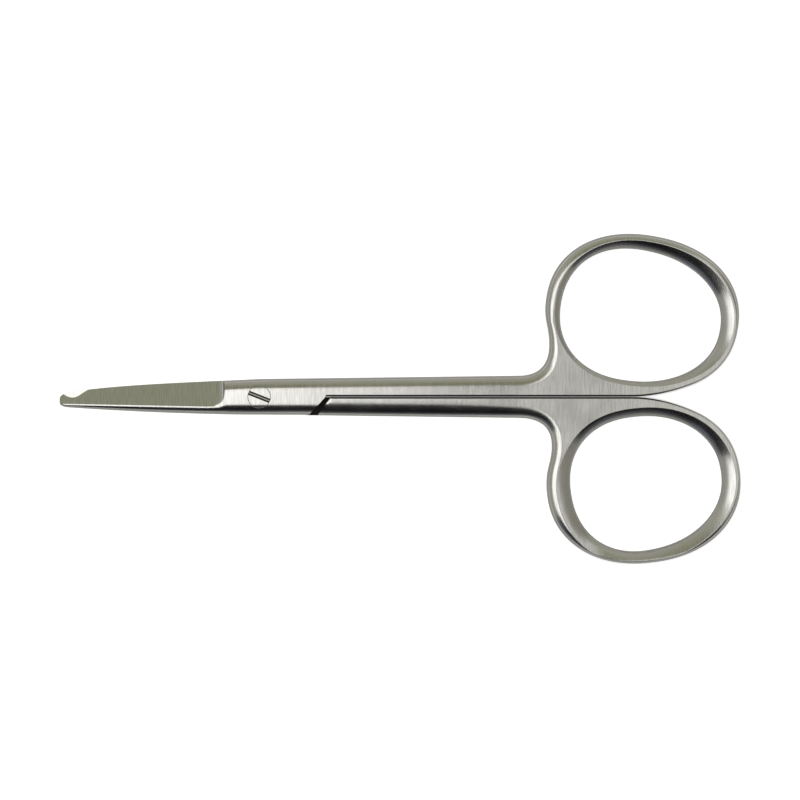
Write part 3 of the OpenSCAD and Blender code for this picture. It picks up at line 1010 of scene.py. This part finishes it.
@dataclass
class PivotScrew:
    """Slotted screw of the joint: threaded end, plain shank and flush head, in mm."""

    head_d: float = 3.44
    head_h: float = 0.65
    pin_d: float = 2.3
    thread_d: float = 2.0
    pitch: float = 0.4
    thread_h: float = 0.2
    total: float = 3.2
    lap_z: float = 1.58
    seat_gap: float = 0.03
    rim: float = 0.035
    slot_w: float = 0.68
    slot_h: float = 0.35
    slot_turn: float = -21.5
    slot_foot: float = 0.2
    sides: int = 96

    def rows(self) -> list[tuple[float, float, float]]:
        """Radius, height and depth of thread along the screw, from its end to its head."""
        head_z = self.total - self.head_h + self.seat_gap
        r = self.thread_d / 2
        ends = [(0.0, 0.0, 0.0), (r - self.thread_h, 0.0, 0.0)]
        thread = [(r, z, self.thread_h * min(1, (self.lap_z - z) / 0.3))
                  for z in np.linspace(0.05, self.lap_z - 0.01, 64)]
        pin = [(self.pin_d / 2, self.lap_z, 0.0), (self.pin_d / 2, head_z, 0.0)]
        head = [(self.head_d / 2, head_z, 0.0), (self.head_d / 2, self.total - self.rim, 0.0)]
        top = [(u, self.total, 0.0) for u in np.linspace(self.head_d / 2 - self.rim, 0.0, 24)]
        return ends + thread + pin + head + top

    def build(self, material: bpy.types.Material, joint: Forging) -> bpy.types.Object:
        """Turn the screw, grind its head flush with the joint and cut its slot.

        Args:
            material: Steel of the screw.
            joint: The half whose outer skin the head is ground with.

        Returns:
            The finished object.
        """
        rows = self.rows()
        n = self.sides
        turns = np.linspace(0, 2 * math.pi, n + 1)
        points = np.array([(t, i, 0.0) for i in range(len(rows)) for t in turns])
        faces = [[i * (n + 1) + j, i * (n + 1) + j + 1, (i + 1) * (n + 1) + j + 1, (i + 1) * (n + 1) + j]
                 for i in range(len(rows) - 1) for j in range(n)]
        screw = mesh_object("pivot_screw_steel", points, faces)
        columns = {
            "turn": np.tile(turns, len(rows)),
            "radius": np.repeat([r[0] for r in rows], n + 1),
            "height": np.repeat([r[1] for r in rows], n + 1),
            "thread": np.repeat([r[2] for r in rows], n + 1)}
        for name, column in columns.items():
            layer = screw.data.attributes.new(name, "FLOAT", "POINT")
            layer.data.foreach_set("value", column.astype(np.float32))
        run_tree(screw, thread_tree(), {"Steel": material, "Pitch": self.pitch})
        for name in columns:
            layer = screw.data.attributes.get(name)
            if layer is not None:
                screw.data.attributes.remove(layer)
        drop_flat_faces(screw)
        self.grind_flush(screw, joint)
        levels = []
        for depth, share in ((0.0, 0.0), (0.12, 0.3), (0.24, 0.75), (self.slot_h, 1.0), (1.0, 1.0)):
            half = mix(self.slot_foot, self.slot_w, share) / 2
            levels.append((self.total - self.slot_h + depth, np.array([
                [-self.head_d, -half], [self.head_d, -half], [self.head_d, half],
                [-self.head_d, half]])))
        bar = prism("slot", levels)
        bar.data.transform(Matrix.Rotation(math.radians(self.slot_turn), 4, "Z"))
        cut(screw, [bar])
        finish_edges(screw)
        return screw


    def grind_flush(self, screw: bpy.types.Object, joint: Forging) -> None:
        """Lower the head's top to the joint's skin, where the rounded shoulders cross it."""
        mesh = screw.data
        points = np.zeros(len(mesh.vertices) * 3)
        mesh.vertices.foreach_get("co", points)
        points = points.reshape(-1, 3) / MM
        on_top = points[:, 2] > self.total - self.rim - 0.001
        skin = joint.half_t + joint.height_at(points[:, 0], points[:, 1])
        sunk = points[:, 2] - np.maximum(self.total - skin, 0)
        points[:, 2] = np.where(on_top, sunk, points[:, 2])
        mesh.vertices.foreach_set("co", (points * MM).ravel())


def drop_flat_faces(obj: bpy.types.Object) -> None:
    """Clear faces with no area, such as those at a lathe's poles, and point the rest outwards."""
    shape = bmesh.new()
    shape.from_mesh(obj.data)
    bmesh.ops.dissolve_degenerate(shape, dist=1e-7, edges=shape.edges)
    bmesh.ops.recalc_face_normals(shape, faces=shape.faces)
    shape.to_mesh(obj.data)
    shape.free()


@dataclass
class Studio:
    """White table, soft light and the camera, which looks straight down. Metres."""

    view_w: float = 0.12352
    centre: tuple[float, float] = (0.02165, -0.00049)
    distance: float = 0.75
    sensor: float = 0.036
    floor_size: float = 8.0
    room: float = 0.95

    def build_camera(self) -> None:
        """Put the camera over the middle of the photographed view."""
        data = bpy.data.cameras.new("camera")
        data.sensor_width = self.sensor * 1000
        data.lens = self.sensor * 1000 * self.distance / self.view_w
        data.clip_start, data.clip_end = 0.01, 20
        camera = bpy.data.objects.new("camera", data)
        camera.location = (*self.centre, self.distance)
        bpy.context.scene.collection.objects.link(camera)
        bpy.context.scene.camera = camera

    def seen(self, tree: bpy.types.NodeTree) -> bpy.types.NodeSocket:
        """Share that is 1 for what the camera, a reflection or a glass sees directly."""
        path = add_node(tree, "ShaderNodeLightPath")
        either = add_node(tree, "ShaderNodeMath", {"operation": "MAXIMUM"}, {
            0: path.outputs["Is Camera Ray"], 1: path.outputs["Is Glossy Ray"]}).outputs[0]
        return add_node(tree, "ShaderNodeMath", {"operation": "MAXIMUM"}, {
            0: either, 1: path.outputs["Is Transmission Ray"]}).outputs[0]

    def build_world(self) -> None:
        """Soft even light from all round, seen as white."""
        world = bpy.data.worlds.new("white_room")
        bpy.context.scene.world = world
        world.use_nodes = True
        tree = world.node_tree
        tree.nodes.clear()
        level = add_node(tree, "ShaderNodeMapRange", {}, {
            "Value": self.seen(tree), "To Min": 0.75, "To Max": 1.0}).outputs[0]
        light = add_node(tree, "ShaderNodeBackground", {}, {
            "Color": (1, 1, 1, 1), "Strength": level})
        add_node(tree, "ShaderNodeOutputWorld", {}, {"Surface": light.outputs[0]})

    def build_floor(self) -> None:
        """White table top, just under the scissors, with a painted shadow: its glow fades where the scissors
        hide it, in the split and along their edges.
        """
        half = self.floor_size / 2
        floor = mesh_object("table_top", np.array([
            [-half, -half, -5e-5], [half, -half, -5e-5], [half, half, -5e-5], [-half, half, -5e-5]]),
            [[0, 1, 2, 3]], 1.0)
        material = bpy.data.materials.new("white_card")
        material.use_nodes = True
        tree = material.node_tree
        tree.nodes.clear()
        body = add_node(tree, "ShaderNodeBsdfDiffuse", {}, {"Color": (0.86, 0.86, 0.86, 1)})
        # Painted shadow: the glow is dimmed where the scissors hide the table, in the split and along their
        # edges.
        open_sky = add_node(tree, "ShaderNodeAmbientOcclusion", {"samples": 8}, {"Distance": 0.0005})
        level = add_node(tree, "ShaderNodeMath", {"operation": "MULTIPLY"}, {
            0: open_sky.outputs["AO"], 1: 0.8}).outputs[0]
        glow = add_node(tree, "ShaderNodeEmission", {}, {"Strength": level})
        both = add_node(tree, "ShaderNodeAddShader", {}, {0: body.outputs[0], 1: glow.outputs[0]})
        chosen = add_node(tree, "ShaderNodeMixShader", {}, {
            0: self.seen(tree), 1: body.outputs[0], 2: both.outputs[0]})
        add_node(tree, "ShaderNodeOutputMaterial", {}, {"Surface": chosen.outputs[0]})
        floor.data.materials.append(material)

    def shine(self, name: str, mesh_points: np.ndarray, faces: list, colour: str, glow: float,
              fade: tuple[float, float, float] | None = None) -> None:
        """Hang a card for the steel to reflect, unseen by the camera.

        Args:
            name: Name of the card.
            mesh_points: Points of the card, in metres.
            faces: Lists of point numbers.
            colour: Colour of the card.
            glow: How brightly it shines, 1 for white.
            fade: Where along X it starts and stops growing dimmer, and how bright it ends.
        """
        card = mesh_object(name, mesh_points, faces, 1.0)
        material = bpy.data.materials.new(name)
        material.use_nodes = True
        tree = material.node_tree
        tree.nodes.clear()
        light = add_node(tree, "ShaderNodeEmission", {}, {"Color": linear(colour), "Strength": glow})
        if fade:
            place = add_node(tree, "ShaderNodeTexCoord").outputs["Object"]
            along = add_node(tree, "ShaderNodeSeparateXYZ", {}, {0: place}).outputs["X"]
            level = add_node(tree, "ShaderNodeMapRange", {}, {
                "Value": along, "From Min": fade[0], "From Max": fade[1], "To Min": glow,
                "To Max": fade[2]}).outputs[0]
            tree.links.new(level, light.inputs["Strength"])
        add_node(tree, "ShaderNodeOutputMaterial", {}, {"Surface": light.outputs[0]})
        card.data.materials.append(material)
        card.visible_camera = False
        card.visible_shadow = False

    def curved_card(self, name: str, tilt: tuple[float, float], turn: tuple[float, float],
                    colour: str, glow: float = 1.0) -> None:
        """Hang a card that is curved round the scissors.

        Args:
            name: Name of the card.
            tilt: Angles from the zenith to its near and far edge, in degrees.
            turn: Compass angles of its two ends, in degrees from +X.
            colour: Colour of the card.
            glow: How brightly it shines, 1 for white.
        """
        a, b = np.radians(spread(*tilt, 6)), np.radians(spread(*turn, 16))
        a, b = (v.ravel() for v in np.meshgrid(a, b, indexing="ij"))
        points = np.column_stack([np.sin(a) * np.cos(b), np.sin(a) * np.sin(b), np.cos(a)])
        faces = [[i * 17 + j, i * 17 + j + 1, (i + 1) * 17 + j + 1, (i + 1) * 17 + j]
                 for i in range(6) for j in range(16)]
        self.shine(name, points * self.room, faces, colour, glow)

    def build(self) -> None:
        """Build the whole set."""
        bpy.context.scene.view_settings.view_transform = "Standard"
        self.build_camera()
        self.build_world()
        self.build_floor()
        self.shine("overhead_light", np.array([
            [-0.46, -0.15, 0.62], [0.08, -0.15, 0.62], [0.08, 0.16, 0.62], [-0.46, 0.16, 0.62]]),
            [[0, 1, 2, 3]], "#FFFFFF", 1.9, (-0.015, 0.05, 0.08))
        self.curved_card("ceiling", (0, 15), (-180, 180), "#F2F1ED")
        self.curved_card("black_card", (15, 60), (248, 326), "#18181B")
        self.curved_card("dark_grey_card", (60, 74), (248, 326), "#55555A")
        self.curved_card("far_black_card", (15, 56), (208, 248), "#18181B")
        self.curved_card("blue_grey_card", (56, 88), (208, 248), "#6F7580")
        self.curved_card("low_grey_card", (74, 88), (248, 326), "#97979A")
        self.curved_card("olive_card", (15, 37), (50, 128), "#95937F")
        self.curved_card("grind_card", (37, 52), (50, 128), "#A9AB98")
        self.curved_card("high_olive_card", (52, 86), (40, 128), "#B9B8AD")
        self.curved_card("corner_card", (15, 80), (128, 152), "#B9B8AF")
        self.curved_card("left_card", (40, 84), (152, 208), "#B4B3AC")
        self.curved_card("right_card", (40, 88), (-34, 40), "#9F9D95")


UPPER_RING = Oval((58.95, 13.0), 29.9, 23.8, 10.5)
UPPER_HOLE = Oval((58.7, 12.4), 24.8, 20.1, 9.5, 0.077)
UPPER_FALLS = Widths(((-145, 0.62), (-90, 0.75), (-60, 1.0), (-45, 1.2), (-30, 1.5), (-10, 1.85),
                      (10, 2.05), (45, 1.95), (90, 1.44), (135, 0.9), (180, 0.97)))
UPPER_CROWNS = Widths(((-145, 0.6), (-90, 1.0), (-60, 0.75), (-30, 0.65), (-10, 0.45), (10, 0.2),
                       (30, 0.12), (90, 0.12), (135, 0.12), (180, 0.16), (200, 0.25)))
UPPER_EDGE = Widths(((-30, 1.6), (0, 1.7), (26, 1.72), (40, 1.75)), None, 3.0)
UPPER_SPINE = Widths(((-8, 1.5), (-3, 1.75), (10, 1.75)), None, 2.0)
LOWER_RING = Oval((59.15, 13.35), 29.9, 24.5, 7.0)
LOWER_HOLE = Oval((59.55, 13.2), 23.3, 20.5, 9.5, 0.077)
LOWER_FALLS = Widths(((-145, 1.4), (-90, 1.31), (-60, 1.5), (-40, 1.65), (-17, 1.85), (0, 2.1),
                      (20, 2.1), (45, 1.9), (90, 1.85), (135, 1.8), (180, 2.2), (195, 1.9)))
LOWER_CROWNS = Widths(((-145, 0.6), (-90, 0.6), (-60, 0.6), (-40, 0.65), (-17, 0.65), (0, 0.45),
                       (20, 0.2), (45, 0.1), (135, 0.1), (180, 0.12), (200, 0.2)))
LOWER_EDGE = Widths(((0, 1.7), (6, 2.1), (12, 2.4), (31, 2.45), (37, 2.1), (42, 1.75)), None, 2.0)
LOWER_SPINE = Widths(((-8, 1.5), (10, 1.5)), None, 2.0)


def report(obj: bpy.types.Object, body: str, node: str) -> None:
    """Fasten a finished piece to its body and say so in the log.

    Args:
        obj: The piece.
        body: Body that it moves with.
        node: CAD node that it stands for.
    """
    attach(obj, body)
    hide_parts(node)
    LOG.info("%s: %d faces on body %s", obj.name, len(obj.data.polygons), body)


def main() -> None:
    """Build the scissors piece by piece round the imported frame."""
    logging.basicConfig(level=logging.INFO, format="%(name)s: %(message)s")
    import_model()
    Studio().build()
    hooked_half = HookedHalf(Side.HOOKED, UPPER_RING, UPPER_HOLE, UPPER_FALLS, UPPER_CROWNS,
                             UPPER_EDGE, UPPER_SPINE, 1.03, 1.6)
    hooked = hooked_half.build(GroundSteel("satin_ground_stainless_hooked").build())
    report(hooked, "hooked", "hooked_half")
    plain_half = PlainHalf(Side.PLAIN, LOWER_RING, LOWER_HOLE, LOWER_FALLS, LOWER_CROWNS,
                           LOWER_EDGE, LOWER_SPINE, 1.08, 1.6)
    plain = plain_half.build(GroundSteel("satin_ground_stainless_plain").build())
    report(plain, "plain", "plain_half")
    # On the screw, the band of painted shade lies between these two heights, which paints shade on the walls
    # of the slot.
    turned = GroundSteel("turned_stainless_screw", recess_shade_from_mm=-50.0, recess_shade_low_mm=2.9,
                         recess_shade_high_mm=3.06, recess_shade_on_flats=False)
    screw = PivotScrew().build(turned.build(), hooked_half)
    report(screw, "plain", "pivot_screw")


if __name__ == "__main__":
    main()
